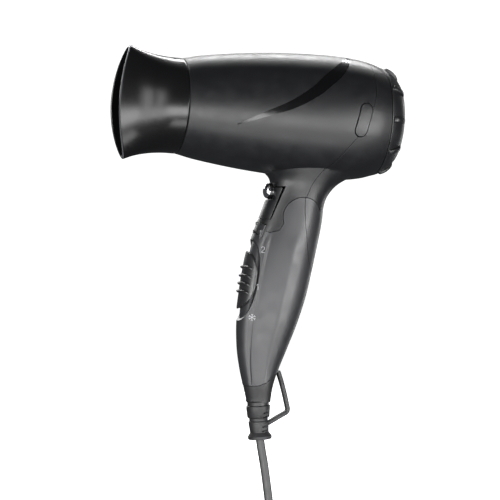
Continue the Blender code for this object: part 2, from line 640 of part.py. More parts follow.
def plug(black, brass):
    """A contour mains plug lying on its flat side, its pins towards -X."""
    sizes = [(0, 4.2, 4.2), (-16, 5.6, 5.6), (-19, 12.5, 10), (-24, 17.6, 12.7), (-36, 17.6, 12.7)]
    rings = []
    for x, half_y, half_z in sizes:
        ring = []
        for i in range(24):
            a = 2 * math.pi * i / 24
            c, s = math.cos(a), math.sin(a)
            y = math.copysign(abs(c) ** 0.8, c) * half_y
            z = math.copysign(abs(s) ** 0.8, s) * half_z
            ring.append((PLUG_X + x, TAIL_Y + y, PLUG_Z + z))
        rings.append(ring)
    loft("plug_body", rings, black)
    face = PLUG_X - 36 - GAP
    for name, side in (("plug_pin_left", -1), ("plug_pin_right", 1)):
        y = TAIL_Y + side * 9.5
        rod(name, (face, y, PLUG_Z), (face - 19, y, PLUG_Z), 2.4, brass, 12)


def main():
    clear_scene()
    black = material("satin_black", (0.03, 0.03, 0.032), 0.38)
    gloss = material("gloss_black", (0.008, 0.008, 0.009), 0.08)
    grey = material("dark_plastic", (0.05, 0.05, 0.055), 0.5)
    rubber = material("rubber", (0.025, 0.025, 0.027), 0.6)
    steel = material("steel", (0.6, 0.6, 0.6), 0.3, 1.0)
    chrome = material("chrome", (0.85, 0.85, 0.87), 0.08, 1.0)
    brass = material("brass", (0.75, 0.6, 0.35), 0.3, 1.0)
    mica = material("mica", (0.6, 0.52, 0.4), 0.6)
    front_and_rear_shell(black)
    latch("latch_left", -1, black)
    latch("latch_right", 1, black)
    nozzle(gloss)
    grille_bars("outlet_grille", -66.5, -63.5, (-16, -8, 0, 8, 16), SPIGOT_R - 2 - GAP, grey)
    heater(mica, steel, steel)
    motor_and_fan(grey, steel, steel)
    rear_cap(black, grey)
    rod("fold_pin", *across_fold(6.0), FOLD_PIN_R, steel, 12)
    lever_pin("lever_pin", 0.0, steel)
    release_lever(black, chrome)
    lower_handle(black, grey, steel)
    switch_slider(grey)
    strain_relief(rubber)
    hang_loop(rubber)
    cord(rubber, brass, grey)


main()
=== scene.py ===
import math

import bmesh
import bpy
from mathutils import Matrix, Vector


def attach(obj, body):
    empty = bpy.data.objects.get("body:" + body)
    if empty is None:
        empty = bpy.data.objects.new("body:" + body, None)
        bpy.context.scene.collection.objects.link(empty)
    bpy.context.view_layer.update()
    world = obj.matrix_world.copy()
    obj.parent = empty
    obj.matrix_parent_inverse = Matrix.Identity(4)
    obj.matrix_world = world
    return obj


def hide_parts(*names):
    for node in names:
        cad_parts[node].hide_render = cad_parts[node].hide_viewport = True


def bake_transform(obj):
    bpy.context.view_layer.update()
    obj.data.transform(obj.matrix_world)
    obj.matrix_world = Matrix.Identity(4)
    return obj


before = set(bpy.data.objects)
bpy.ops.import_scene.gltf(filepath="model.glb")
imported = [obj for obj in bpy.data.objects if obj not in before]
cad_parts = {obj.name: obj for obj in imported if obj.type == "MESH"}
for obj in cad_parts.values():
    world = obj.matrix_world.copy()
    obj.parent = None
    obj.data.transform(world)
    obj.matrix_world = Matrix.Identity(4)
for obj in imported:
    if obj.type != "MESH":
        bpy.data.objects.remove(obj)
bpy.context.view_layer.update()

# ---- sizes, in millimetres; most repeat those of the CAD part ----
MM = 0.001
GAP = 0.15  # half of a seam's gap
AXIS_Z = 106.0
WALL = 2.2
ROUND = 144

BARREL = [
    (-61.5, 28.4), (-50, 30.9), (-26, 34.3), (-5, 36.3), (12, 37.2), (30, 37.5), (44, 36.8), (54, 35.2), (61.5, 32.9),
]
SPIGOT_R, SPIGOT_TIP = 25.6, -68.0
NOZZLE_BACK, NOZZLE_LIP, LIP_BOW, NOZZLE_WALL = -61.8, -100.0, 6.5, 1.8
NOZZLE_HEIGHT = [(0, 28.4), (0.25, 28.5), (0.5, 29.4), (0.75, 31.2), (1, 34.0)]
NOZZLE_WIDTH = [(0, 28.4), (0.25, 26.0), (0.5, 21.2), (0.75, 16.2), (1, 12.8)]
HANDLE = [
    (78, -14, 60, 22), (72, -8, 50, 19), (68, -3.2, 42.5, 17.2), (64, -1.6, 37.5, 16), (58, -2.6, 33.3, 15),
    (52, -4.6, 31.6, 14.6), (44, -7.2, 31.2, 14.4), (36, -9.8, 30.3, 14.2), (26, -12.8, 28.8, 14),
    (12, -15.2, 26.6, 13.7), (-4, -16.8, 23.7, 13.2), (-20, -17.6, 19.3, 12.2), (-36, -16.4, 13.8, 10.6),
    (-48, -14, 9.6, 9.3), (-58, -11.2, 7, 8.6), (-66, -8.9, 6.2, 7.6),
]
SQUARENESS, EGG = 2.2, 0.08
FOLD_X, FOLD_Z, FOLD_RELIEF, KNUCKLE_R = -7.0, 35.6, 4.0, 3.4
CHEEK_X, CHEEK_Z, CHEEK_R = 15.7, 44.4, 12.0
KNOB_Z, KNOB_R = 59.4, 4.6
LEVER_ROOM = [(-20, 42.2), (-2.9, 42.2), (4.6, 62.6), (0.6, 62.6), (0.6, 64.6), (-20, 64.6)]
LEVER_SIDE = [(-20, 42.6), (-3.4, 42.6), (2.9, 61.6), (-0.6, 61.6), (-0.6, 54.2), (-20, 54.2)]
LEVER_GAPS = [
    (-3.8, 42.0), (-2.5, 42.0), (5.2, 62.9), (1.0, 62.9), (1.0, 64.9), (-1.5, 64.9), (-1.5, 61.2), (2.5, 61.2),
]
SLIDE_LEAN = math.radians(5.8)
SWITCH_Z, SWITCH_TRAVEL, LEAF_HALF = 5.2, 6.0, 17.5
LATCH_X, LATCH_Z, LATCH_LENGTH, LATCH_WIDTH, LATCH_LEAN = 42.5, 104.0, 20.0, 7.2, math.radians(12)
CAP_X, RIBS = 61.9, 10
CORD_WIDTH, CORE_R = 5.2, 1.45
FLOOR_Z = -176.0
COIL_X, COIL_Y, COIL_OUTER, COIL_INNER, COIL_TURNS = 38.0, 36.0, 36.7, 24.8, 8.5
COIL_TOP, LAYER = -157.1, 5.4
LEAD = [
    (1.1, 0, -88.6), (1.5, 0, -90.6), (3.0, 0, -97.5), (4.9, 0, -105.4), (6.6, 0, -113.5), (8.2, 0, -121.5),
    (9.8, 0, -129.5), (12.0, 0, -137.2), (15.6, 0, -144.2), (20.8, 0, -149.4), (26.5, -0.1, -153.6),
    (32.2, -0.5, -156.2), (38, -0.7, -157.1),
]
TAIL_Y, TAIL_Z, TAIL_START, TAIL_RUN, PLUG_Z = 72.7, -173.3, 20.0, 37.0, -163.2


# ---- camera, in metres and degrees ----
CAMERA_SIDE, CAMERA_ROLL, CAMERA_LENS, CAMERA_AWAY = -16, 3.5, 144, 1.2
CAMERA_AIM = (-0.0121, 0, 0.0233)


def make_camera():
    data = bpy.data.cameras.new("camera")
    data.sensor_width = 36
    data.lens = CAMERA_LENS
    data.clip_end = 50
    cam = bpy.data.objects.new("camera", data)
    bpy.context.scene.collection.objects.link(cam)
    side, roll = math.radians(CAMERA_SIDE), math.radians(CAMERA_ROLL)
    back = Vector((math.sin(side), -math.cos(side), 0))
    level, up = Vector((math.cos(side), math.sin(side), 0)), Vector((0, 0, 1))
    right = level * math.cos(roll) + up * math.sin(roll)
    high = up * math.cos(roll) - level * math.sin(roll)
    place = Vector(CAMERA_AIM) + back * CAMERA_AWAY
    cam.matrix_world = Matrix((
        (right.x, high.x, back.x, place.x), (right.y, high.y, back.y, place.y),
        (right.z, high.z, back.z, place.z), (0, 0, 0, 1),
    ))
    bpy.context.scene.camera = cam


# ---- materials ----
def surface(name, color, rough, metallic=0.0, grain=1600, depth=0.02, vary=0.15, worn=0.0, streak=None, uneven=0.15):
    """A moulded or metal surface: fine grain in its bump, uneven roughness and colour, and paler edges."""
    mat = bpy.data.materials.new(name)
    mat.use_nodes = True
    nodes, links = mat.node_tree.nodes, mat.node_tree.links
    shader = nodes["Principled BSDF"]
    shader.inputs["Metallic"].default_value = metallic
    place = nodes.new("ShaderNodeTexCoord")
    source = place.outputs["Object"]
    if streak:
        mapping = nodes.new("ShaderNodeMapping")
        mapping.inputs["Scale"].default_value = streak
        links.new(source, mapping.inputs["Vector"])
        source = mapping.outputs["Vector"]

    def noise(scale, detail):
        made = nodes.new("ShaderNodeTexNoise")
        made.inputs["Scale"].default_value = scale
        made.inputs["Detail"].default_value = detail
        links.new(source, made.inputs["Vector"])
        return made.outputs["Fac"]

    def ranged(value, low, high, start=0.3, end=0.7):
        made = nodes.new("ShaderNodeMapRange")
        made.inputs["From Min"].default_value, made.inputs["From Max"].default_value = start, end
        made.inputs["To Min"].default_value, made.inputs["To Max"].default_value = low, high
        links.new(value, made.inputs["Value"])
        return made.outputs["Result"]

    broad, fine = noise(38, 3), noise(grain, 2)
    smudge = noise(140, 4)
    shade = nodes.new("ShaderNodeMix")
    shade.data_type = "RGBA"
    shade.inputs["A"].default_value = (*[c * (1 - vary) for c in color], 1)
    shade.inputs["B"].default_value = (*[min(1, c * (1 + vary)) for c in color], 1)
    links.new(ranged(broad, 0, 1), shade.inputs["Factor"])
    final = shade.outputs["Result"]
    if worn:
        edge = nodes.new("ShaderNodeNewGeometry")
        wear = nodes.new("ShaderNodeMix")
        wear.data_type = "RGBA"
        wear.inputs["B"].default_value = (*[min(1, c * 2.2 + 0.02) for c in color], 1)
        links.new(final, wear.inputs["A"])
        links.new(ranged(edge.outputs["Pointiness"], 0, worn, 0.53, 0.62), wear.inputs["Factor"])
        final = wear.outputs["Result"]
    links.new(final, shader.inputs["Base Color"])
    links.new(ranged(smudge, rough * (1 - uneven), rough * (1 + uneven)), shader.inputs["Roughness"])
    bump = nodes.new("ShaderNodeBump")
    bump.inputs["Strength"].default_value = 0.5
    bump.inputs["Distance"].default_value = depth * MM
    links.new(fine, bump.inputs["Height"])
    links.new(bump.outputs["Normal"], shader.inputs["Normal"])
    return mat


def make_materials():
    return {
        "satin": surface("satin_black", (0.006, 0.0062, 0.007), 0.4, worn=0.5, depth=0.012),
        "grip": surface("grip_grey", (0.022, 0.0224, 0.0245), 0.38, worn=0.5, depth=0.02, grain=1300),
        "gloss": surface("gloss_black", (0.003, 0.003, 0.0033), 0.25, grain=300, depth=0.0004, vary=0.2, uneven=0.03),
        # The swoosh's gloss is a finish, but its colour, darker than the satin body, is painted shade for the shaded
        # face of a step between the shells.
        "swoosh": surface("swoosh_gloss_painted_shade", (0.0015, 0.0015, 0.0018), 0.2, grain=300, depth=0.001),
        "trim": surface("nozzle_trim", (0.16, 0.16, 0.17), 0.22, metallic=0.6, depth=0.003),
        "soft": surface("soft_rubber", (0.012, 0.012, 0.013), 0.55, grain=900, depth=0.05, worn=0.5),
        "vinyl": surface("cord_vinyl", (0.01, 0.01, 0.011), 0.38, grain=700, depth=0.03),
        "slider": surface("slider_black", (0.016, 0.016, 0.017), 0.3, worn=0.6, depth=0.012),
        "dark": surface("dark_plastic", (0.01, 0.01, 0.011), 0.5, worn=0.4, depth=0.02),
        "chrome": surface("chrome", (0.8, 0.8, 0.82), 0.08, metallic=1.0, grain=400, depth=0.001, vary=0.04),
        "steel": surface("steel", (0.5, 0.5, 0.51), 0.3, metallic=1.0, streak=(1, 12, 12), vary=0.1, depth=0.004),
        "brass": surface("brass_pin", (0.62, 0.5, 0.28), 0.24, metallic=1.0, streak=(12, 1, 1), vary=0.08, depth=0.003),
        "mica": surface("mica", (0.5, 0.42, 0.3), 0.5, grain=500, depth=0.04, vary=0.3),
        "wire": surface("heater_wire", (0.3, 0.27, 0.25), 0.4, metallic=1.0, vary=0.25, depth=0.01),
        "screen": surface("dust_screen", (0.02, 0.02, 0.022), 0.6, grain=2600, depth=0.15),
        "mark": surface("printed_mark", (0.32, 0.32, 0.33), 0.5, vary=0.1, depth=0.004),
    }


# ---- shape tools ----
def smooth(table, at):
    rows = sorted(table)
    at = min(max(at, rows[0][0]), rows[-1][0])
    k = max(i for i in range(len(rows) - 1) if rows[i][0] <= at)
    a, b = rows[k], rows[k + 1]
    before, after = rows[max(k - 1, 0)], rows[min(k + 2, len(rows) - 1)]
    step = b[0] - a[0]
    t = (at - a[0]) / step
    found = []
    for c in range(1, len(a)):
        rise_a = (b[c] - before[c]) / (b[0] - before[0]) * step
        rise_b = (after[c] - a[c]) / (after[0] - a[0]) * step
        found.append(
            (2 * t**3 - 3 * t**2 + 1) * a[c] + (t**3 - 2 * t**2 + t) * rise_a
            + (3 * t**2 - 2 * t**3) * b[c] + (t**3 - t**2) * rise_b
        )
    return found


def spaced(low, high, count):
    return [low + (high - low) * i / (count - 1) for i in range(count)]


def barrel_r(x):
    return smooth(BARREL, x)[0]


def to_object(name, tool):
    bmesh.ops.remove_doubles(tool, verts=tool.verts, dist=1e-4)
    bmesh.ops.recalc_face_normals(tool, faces=tool.faces)
    bmesh.ops.scale(tool, vec=(MM, MM, MM), verts=tool.verts)
    mesh = bpy.data.meshes.new(name)
    tool.to_mesh(mesh)
    tool.free()
    obj = bpy.data.objects.new(name, mesh)
    bpy.context.scene.collection.objects.link(obj)
    return obj


def loft(name, rings, closed=False):
    """A body through rings of the same number of points: capped at both ends, or joined end to end."""
    tool = bmesh.new()
    made = [[tool.verts.new(p) for p in ring] for ring in rings]
    count = len(rings[0])
    for low, high in zip(made, made[1:] + (made[:1] if closed else [])):
        for i in range(count):
            j = (i + 1) % count
            tool.faces.new((low[i], low[j], high[j], high[i]))
    if not closed:
        tool.faces.new(made[0])
        tool.faces.new(made[-1])
    return to_object(name, tool)


def turned(name, outline, segments=ROUND, centre=(0, 0, AXIS_Z), turn=None):
    """A body turned about the X axis through centre; outline is a closed loop of (x, radius)."""
    tool = bmesh.new()
    rings = []
    for x, radius in outline:
        if radius < 1e-6:
            rings.append([tool.verts.new((x, 0, 0))] * segments)
            continue
        angles = [2 * math.pi * i / segments for i in range(segments)]
        rings.append([tool.verts.new((x, radius * math.sin(a), radius * math.cos(a))) for a in angles])
    closed = outline[0][1] > 1e-6 or outline[-1][1] > 1e-6
    for low, high in zip(rings, rings[1:] + rings[:1] if closed else rings[1:]):
        for i in range(segments):
            j = (i + 1) % segments
            corners = list(dict.fromkeys((low[i], low[j], high[j], high[i])))
            if len(corners) > 2:
                tool.faces.new(corners)
    if turn:
        bmesh.ops.transform(tool, matrix=turn, verts=tool.verts)
    bmesh.ops.translate(tool, vec=centre, verts=tool.verts)
    return to_object(name, tool)


def prism(name, outline, y_low, y_high):
    return loft(name, [[(x, y, z) for x, z in outline] for y in (y_low, y_high)])


def slab(name, low, high):
    (x0, y0, z0), (x1, y1, z1) = low, high
    return prism(name, [(x0, z0), (x1, z0), (x1, z1), (x0, z1)], y0, y1)


def rod(name, start, end, radius, segments=40, round_by=0.0):
    a, b = Vector(start), Vector(end)
    turn = (b - a).to_track_quat("X", "Z").to_matrix().to_4x4()
    long, r = (b - a).length, round_by
    if r:
        corner = [(r * (1 - math.cos(t)), radius - r * (1 - math.sin(t))) for t in spaced(0, math.pi / 2, 6)]
        outline = [(0, 0), *corner, *[(long - x, y) for x, y in reversed(corner)], (long, 0)]
    else:
        outline = [(0, 0), (0, radius), (long, radius), (long, 0)]
    return turned(name, outline, segments, start, turn)


def change(obj, operation, *tools):
    for tool in tools:
        step = obj.modifiers.new(operation, "BOOLEAN")
        step.operation = operation
        step.object = tool
    for solver in ("MANIFOLD", "EXACT"):
        for step in obj.modifiers:
            step.solver = solver
        bpy.context.view_layer.update()
        graph = bpy.context.evaluated_depsgraph_get()
        made = bpy.data.meshes.new_from_object(obj.evaluated_get(graph))
        tidy = bmesh.new()
        tidy.from_mesh(made)
        bmesh.ops.remove_doubles(tidy, verts=tidy.verts, dist=1e-6)
        closed = len(tidy.verts) > 0 and all(edge.is_manifold for edge in tidy.edges)
        tidy.to_mesh(made)
        tidy.free()
        if closed:
            break
    obj.modifiers.clear()
    obj.data = made
    for tool in tools:
        bpy.data.objects.remove(tool)
    return obj


def rounded_square(power, count):
    """Points round a square of half-width 1; a lower power has sharper corners."""
    points = []
    for k in range(count):
        c, s = math.cos(2 * math.pi * k / count), math.sin(2 * math.pi * k / count)
        points.append((math.copysign(abs(c) ** power, c), math.copysign(abs(s) ** power, s)))
    return points


def copy(obj, name):
    made = obj.copy()
    made.data = obj.data.copy()
    made.name = name
    bpy.context.scene.collection.objects.link(made)
    return made


def arc(cx, cz, radius, first, last, steps):
    angles = [math.radians(first + (last - first) * i / steps) for i in range(steps + 1)]
    return [(cx + radius * math.cos(a), cz + radius * math.sin(a)) for a in angles]


def stadium(cx, cz, length, width, lean, steps=20):
    half = length / 2 - width / 2
    ends = arc(0, half, width / 2, 0, 180, steps) + arc(0, -half, width / 2, 180, 360, steps)
    c, s = math.cos(lean), math.sin(lean)
    return [(cx + x * c + z * s, cz - x * s + z * c) for x, z in ends]


def done(obj, body, mat, replaces=(), angle=32):
    """Shades a finished piece, and makes it ride on its body."""
    obj.data.materials.clear()
    obj.data.materials.append(mat)
    obj.data.shade_smooth()
    obj.data.set_sharp_from_angle(angle=math.radians(angle))
    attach(obj, body)
    if replaces:
        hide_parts(*replaces)
    return obj


# ---- the handle's shape ----
def handle_ring(z, grow=0.0, count=176, crease=False):
    front, rear, half = smooth(HANDLE, z)
    front, rear, half = front - grow, rear + grow, half + grow
    middle, reach = (front + rear) / 2, (rear - front) / 2
    fade = min(1, max(0, (34 - z) / 8)) * min(1, max(0, (z + 62) / 12)) if crease else 0
    ring = []
    for i in range(count):
        a = 2 * math.pi * i / count
        c, s = math.cos(a), math.sin(a)
        x = math.copysign(abs(c) ** (2 / SQUARENESS), c)
        y = math.copysign(abs(s) ** (2 / SQUARENESS), s)
        away = abs(math.degrees(math.atan2(abs(s), -c)) - 52)
        dip = fade * 0.5 * math.exp(-((away / 4.2) ** 2))
        ridge = fade * 0.35 * math.exp(-(((math.degrees(math.atan2(abs(s), c)) - 84) / 9) ** 2))
        ring.append((middle + (reach - dip) * x, (half - dip + ridge) * y * (1 + EGG * x), z))
    return ring


def handle_solid(name, low, high, grow=0.0, step=1.6, crease=False, count=176):
    rows = max(2, round((high - low) / step) + 1)
    return loft(name, [handle_ring(z, grow, count, crease) for z in spaced(low, high, rows)])


def fold_line(gap):
    cheek = arc(CHEEK_X, CHEEK_Z, CHEEK_R + gap, 200, 25, 48)
    front = [(-30, 36 + gap), (-9.8, 36 + gap), (-3.4, 34.3 + gap), (1.7, 35.8 + gap)]
    return [*front, *cheek, (45, cheek[-1][1] + 0.4)]


def shell_seam(gap):
    rows = [
        (52.5, 150), (52, 141), (51.2, 128), (50.3, 119.5), (48.6, 113), (44.5, 104), (40.6, 95.5), (34, 85.4),
        (28.5, 77.5), (24.6, 73), (20.6, 67), (17.8, 60), (16.4, 54), (16, 30),
    ]
    table = [(-z, x) for x, z in rows]
    return [(smooth(table, -z)[0] + gap, z) for z in spaced(150, 30, 70)]


# ---- housing ----
def housing(mats):
    front_edge = [(-61.7, 27.7), (-61.6, 28.1), (-61.2, 28.5)]
    barrel = [(x, barrel_r(x)) for x in spaced(-60.6, 61.2, 58)]
    spigot = [(SPIGOT_TIP, 0), (SPIGOT_TIP, SPIGOT_R - 0.6), (SPIGOT_TIP + 0.8, SPIGOT_R), (-61.7, SPIGOT_R)]
    body = turned("front_shell_skin", [*spigot, *front_edge, *barrel, (61.5, 32.6), (61.5, 0)])
    change(body, "UNION", handle_solid("stub", 30, 78, step=1.2))
    bore = [(SPIGOT_TIP - 1, 0), (SPIGOT_TIP - 1, SPIGOT_R - 2), (-61, SPIGOT_R - 2)]
    bore += [(x, r - WALL) for x, r in BARREL[1:-1]] + [(63, 30.3), (63, 0)]
    lever_room = prism("room", LEVER_ROOM, -20, 20)
    lever_slot = slab("slot", (-6, -4.3, 41.6), (3.2, 4.3, 49))
    holes = []
    for low, high in ((-45, -20), (20, 45)):
        outline = stadium(LATCH_X, LATCH_Z, LATCH_LENGTH + 1.1, LATCH_WIDTH + 1.1, LATCH_LEAN)
        holes.append(prism("hole", outline, low, high))
    change(body, "DIFFERENCE", turned("bore", bore), handle_solid("stub_bore", 60, 80, -WALL, count=64),
           lever_room, lever_slot, *holes)
    below = [*fold_line(0.4), (45, 0), (-30, 0)]
    across = (FOLD_X, -8.4, FOLD_Z), (FOLD_X, 8.4, FOLD_Z)
    change(body, "DIFFERENCE", prism("below", below, -40, 40), rod("relief", *across, FOLD_RELIEF))
    rear = copy(body, "rear_shell_skin")
    change(rear, "INTERSECT", prism("rear_side", [*shell_seam(GAP), (110, 30), (110, 150)], -60, 60))
    change(body, "INTERSECT", prism("front_side", [*shell_seam(-GAP), (-110, 30), (-110, 150)], -60, 60))
    knuckle = flush_knuckle(-4, 4)
    arm = slab("arm", (FOLD_X - 1.6, -3.8, FOLD_Z), (FOLD_X + 2.1, 3.8, FOLD_Z + 4.9))
    change(body, "UNION", knuckle, arm)
    done(body, "housing", mats["satin"], ["front_shell"])
    done(rear, "housing", mats["satin"], ["rear_shell"])
    swoosh(mats)
    for name, side in (("latch_left", -1), ("latch_right", 1)):
        latch(name, side, mats)


def flush_knuckle(low, high):
    """A barrel of the fold's hinge, cut level with the handle's face."""
    barrel = rod("knuckle", (FOLD_X, low, FOLD_Z), (FOLD_X, high, FOLD_Z), KNUCKLE_R)
    return change(barrel, "INTERSECT", handle_solid("flush", 30, 41, 0.15))


def swoosh(mats):
    """The glossy crescent that sweeps up each side of the barrel: a thin sheet over the shell, darker than the body,
    which is painted shade for the shaded face of the step where the rear shell stands proud.
    """
    lower = [
        (-33.2, 95.6), (-16.5, 101.6), (0.4, 108), (14.7, 116.5), (22.5, 123), (29.5, 129), (34.7, 135), (39.4, 141),
    ]
    upper = [(-33.8, 96.0), (-18.5, 104), (-3, 111.8), (10, 120.8), (18, 128), (26, 134.4), (33, 139.4), (38.4, 142.4)]

    def curve(points):
        rows = [(i, *p) for i, p in enumerate(points)]
        return [tuple(smooth(rows, t)) for t in spaced(0, len(points) - 1, 60)]

    outline = curve(lower) + curve(upper)[::-1]
    rows = [(x, barrel_r(x)) for x in spaced(-36, 42, 40)]
    skin = [*[(x, r + 0.16) for x, r in rows], *[(x, r - 0.5) for x, r in reversed(rows)]]
    # Each crescent is a thin dark sheet laid on the shell: painted shade where the real barrel has the shaded face of a
    # step.
    for name, low, high in (("swoosh_painted_shade_left", -50, -1), ("swoosh_painted_shade_right", 1, 50)):
        piece = turned(name, skin, 180)
        change(piece, "INTERSECT", prism("outline", outline, low, high))
        done(piece, "housing", mats["swoosh"])


def latch(name, side, mats):
    rows = [(x, barrel_r(x)) for x in spaced(28, 57, 24)]
    piece = turned(name + "_pill", [*[(x, r + 0.5) for x, r in rows], *[(x, r - WALL) for x, r in reversed(rows)]])
    outline = stadium(LATCH_X, LATCH_Z, LATCH_LENGTH, LATCH_WIDTH, LATCH_LEAN)
    change(piece, "INTERSECT", prism("outline", outline, *sorted((side * 20, side * 45))))
    soften(piece, 0.7, 4)
    done(piece, name, mats["satin"], [name])


def soften(obj, width, segments=3, angle=40):
    """Rounds the sharp edges of a piece."""
    step = obj.modifiers.new("round", "BEVEL")
    step.width = width * MM
    step.segments = segments
    step.limit_method = "ANGLE"
    step.angle_limit = math.radians(angle)
    step.use_clamp_overlap = True
    graph = bpy.context.evaluated_depsgraph_get()
    made = bpy.data.meshes.new_from_object(obj.evaluated_get(graph))
    obj.modifiers.clear()
    obj.data = made


# ---- nozzle ----
def nozzle_ring(share, shrink=0.0, shift=0.0, count=ROUND):
    (height,), (width,) = smooth(NOZZLE_HEIGHT, share), smooth(NOZZLE_WIDTH, share)
    ring = []
    for i in range(count):
        a = 2 * math.pi * i / count
        y, z = (width - shrink) * math.sin(a), (height - shrink) * math.cos(a)
        lip = NOZZLE_LIP + LIP_BOW * (z / NOZZLE_HEIGHT[-1][1]) ** 2
        ring.append((NOZZLE_BACK + share * (lip - NOZZLE_BACK) + shift, y, AXIS_Z + z))
    return ring


def nozzle(mats):
    outer = [nozzle_ring(0, 0.7), nozzle_ring(0.004, 0.3), nozzle_ring(0.012, 0.05)]
    outer += [nozzle_ring(s) for s in spaced(0.03, 0.985, 44)]
    outer += [nozzle_ring(0.995, 0.15), nozzle_ring(1, 0.45)]
    inner = [nozzle_ring(1, NOZZLE_WALL - 0.4), nozzle_ring(0.99, NOZZLE_WALL)]
    inner += [nozzle_ring(s, NOZZLE_WALL) for s in spaced(0.96, 0.32, 24)]
    socket = []
    for x, r in ((-73, 23.0), (SPIGOT_TIP - 0.3, SPIGOT_R + 0.3), (NOZZLE_BACK, SPIGOT_R + 0.3)):
        socket.append([(x, r * math.sin(a), AXIS_Z + r * math.cos(a)) for a in
                       [2 * math.pi * i / ROUND for i in range(ROUND)]])
    piece = loft("nozzle_body", outer + inner + socket, closed=True)
    done(piece, "nozzle", mats["gloss"], ["nozzle"], angle=50)
    edge = [nozzle_ring(0.988, -0.1), nozzle_ring(1.0, 0.35, -0.05)]
    edge += [nozzle_ring(1.0, 0.9, -0.05), nozzle_ring(0.985, 0.9)]
    lip = loft("nozzle_lip", edge, closed=True)
    done(lip, "nozzle", mats["trim"], angle=50)


# ---- rear cap ----
def rear_cap(mats):
    curve = [(CAP_X, 32.5), (62.2, 32.75), (64, 32.1), (66, 31), (67.8, 29.9), (69.3, 28.8), (70.5, 27.6),
             (71.4, 26.4), (72.0, 25.7), (72.2, 25.1), (72.2, 23.7), (71.9, 23.4), (66, 23.4), (63, 27.6),
             (57.5, 28.6), (57.5, 29.9), (CAP_X, 30.0)]
    done(turned("rear_cap_body", curve), "rear_cap", mats["satin"], ["rear_cap"], angle=40)
    rows = [(62.6, 32.4, 1.1), (63.0, 33.3, 1.5), (64.2, 33.6, 1.75), (66.4, 32.7, 1.75), (68.4, 31.5, 1.75),
            (70.2, 29.9, 1.7), (71.2, 28.5, 1.5), (71.6, 27.2, 1.1)]
    for i in range(RIBS):
        turn = Matrix.Translation((0, 0, AXIS_Z)) @ Matrix.Rotation(2 * math.pi * (i + 0.5) / RIBS, 4, "X")
        rings = []
        for x, radius, half in rows:
            shape = [(half * u, 1.6 * v) for u, v in rounded_square(0.6, 24)]
            rings.append([tuple(turn @ Vector((x, y, radius - 1.6 + z))) for y, z in shape])
        done(loft(f"cap_rib_{i + 1}", rings), "rear_cap", mats["satin"], angle=50)


# ---- fold release ----
def release(mats):
    lever = handle_solid("lever_body", 40, 63, step=0.8)
    change(lever, "INTERSECT", prism("side", LEVER_SIDE, -20, 20))
    soften(lever, 0.35)
    tail = prism("lever_tail", [(-6, 42.7), (1.4, 42.7), (1.4, 46), (-3, 48)], -3.9, 3.9)
    done(lever, "release_lever", mats["satin"], ["release_lever"])
    # Two thin pieces close the gaps under and behind the lever, which would show light from side to side.
    done(slab("lever_sill", (-7.0, -0.6, 41.9), (-3.1, 0.6, 42.9)), "housing", mats["dark"])
    done(prism("lever_backing", LEVER_GAPS, -0.5, 0.5), "housing", mats["dark"])
    done(tail, "release_lever", mats["satin"])
    dome = [(0, 0), (0, KNOB_R), (2.2, KNOB_R), *[(2.2 + 2.9 * math.sin(t), KNOB_R * math.cos(t) ** 0.8)
            for t in spaced(0.08, math.pi / 2 - 0.02, 16)], (5.1, 0)]
    turn = Matrix.Rotation(math.pi, 4, "Z")
    knob = turned("release_knob_dome", dome, 64, (-0.9, 0, KNOB_Z), turn)
    done(knob, "release_lever", mats["chrome"], ["release_knob"], angle=50)
    band = [(0.4, -0.5), (0.4, 0.35), (1.9, 0.35), (2.3, -0.1), (2.3, -0.5)]
    rim = turned("release_knob_rim", [(x, KNOB_R + r) for x, r in band], 64, (-0.9, 0, KNOB_Z), turn)
    done(rim, "release_lever", mats["gloss"], angle=50)


# ---- lower handle ----
def leaf():
    """The switch button's outline from the side: a leaf whose tips meet the handle's front."""
    return from_front(LEAF_HALF, 6.9, 0.7)


def track_outline():
    """The room that the leaf slides in."""
    return from_front(LEAF_HALF + SWITCH_TRAVEL + 1, 7.6, 0.1)


def from_front(half, depth, proud, steps=64):
    """A side outline that starts proud of the handle's front and bows back into it by depth."""
    back = []
    for i in range(steps + 1):
        t = -math.cos(math.pi * i / steps)
        z = SWITCH_Z - half * t
        back.append((smooth(HANDLE, z)[0] - proud + depth * max(0.0, 1 - t * t) ** 0.65, z))
    return [*back, (back[-1][0] - 8, back[-1][1]), (back[0][0] - 8, back[0][1])]


def switch_bed(grow, half):
    """The handle's inner face that the switch button slides over."""
    bed = handle_solid("switch_bed", -40, 45, grow, step=1.2)
    return change(bed, "INTERSECT", slab("middle", (-40, -half, -40), (40, half, 45)))


